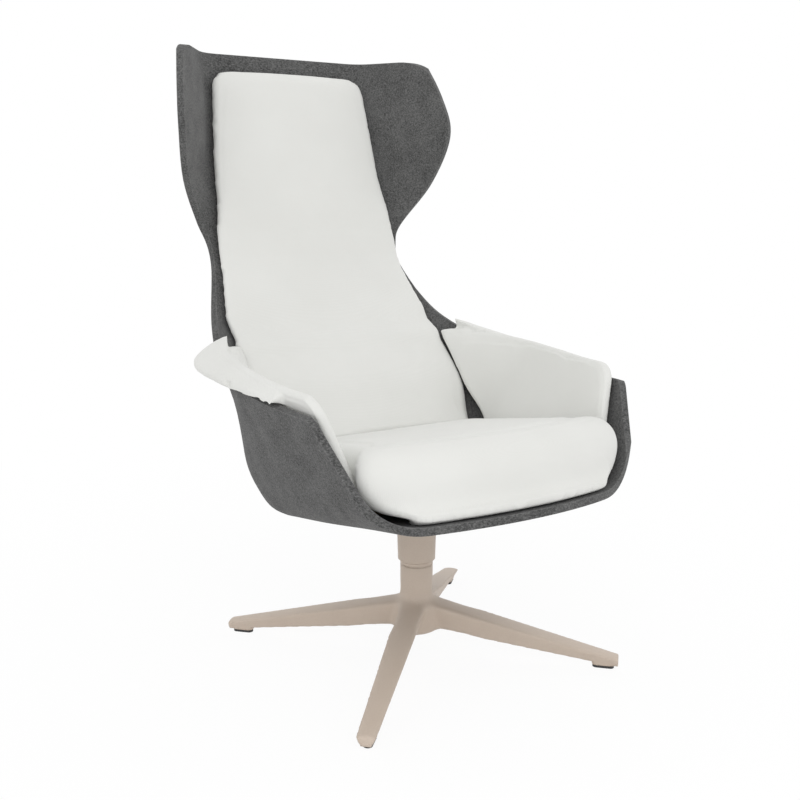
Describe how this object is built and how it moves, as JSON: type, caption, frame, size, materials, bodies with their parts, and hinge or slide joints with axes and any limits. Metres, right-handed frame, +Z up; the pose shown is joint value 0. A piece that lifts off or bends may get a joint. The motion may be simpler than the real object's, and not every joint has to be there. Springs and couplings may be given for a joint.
{
  "type": "lounge chair",
  "caption": "High-backed swivel lounge chair: moulded felt shell with wings, white upholstered seat, back and arm pads, and a sand-coloured star base on glides.",
  "frame": {"origin": "on the swivel axis at the floor, in the plane of the undersides of the glides", "axes": "+Z up along the swivel axis, -Y to the front of the chair, +X to the sitter's left"},
  "size_m": [0.6782, 0.8573, 1.098],
  "materials": {
    "felt": "pressed melange felt",
    "upholstery": "smooth off-white cover",
    "ply": "raw plywood",
    "clip": "moulded",
    "dark_steel": "black powder coat",
    "steel": "zinc plated",
    "powder_coat": "matt sand powder coat",
    "bush": "moulded bearing plastic",
    "glide": "moulded"
  },
  "bodies": {
    "base": {"star_base": "powder_coat", "column_tube": "powder_coat", "upper_bush": "bush", "lower_bush": "bush", "thrust_washer": "bush", "hub_cover": "glide", "glide_front_left": "glide", "glide_front_right": "glide", "glide_rear_left": "glide", "glide_rear_right": "glide", "glide_screws": "steel"},
    "seat": {"outer_shell": "felt", "seat_cushion": "upholstery", "back_pad": "upholstery", "arm_pad_left": "upholstery", "arm_pad_right": "upholstery", "seat_board": "ply", "back_board": "ply", "arm_core_left": "ply", "arm_core_right": "ply", "back_clips": "clip", "arm_clips": "clip", "seat_plate": "dark_steel", "plate_bolts": "steel", "tee_nuts": "steel", "column_sleeve": "powder_coat", "spindle": "steel", "retaining_washer": "steel", "retaining_nut": "steel"}
  },
  "joints": [
    {"name": "seat_swivel", "type": "hinge", "parent": "base", "child": "seat", "pos_m": [0, 0, 0.2], "axis": [0, 0, 1], "continuous": true}
  ]
}
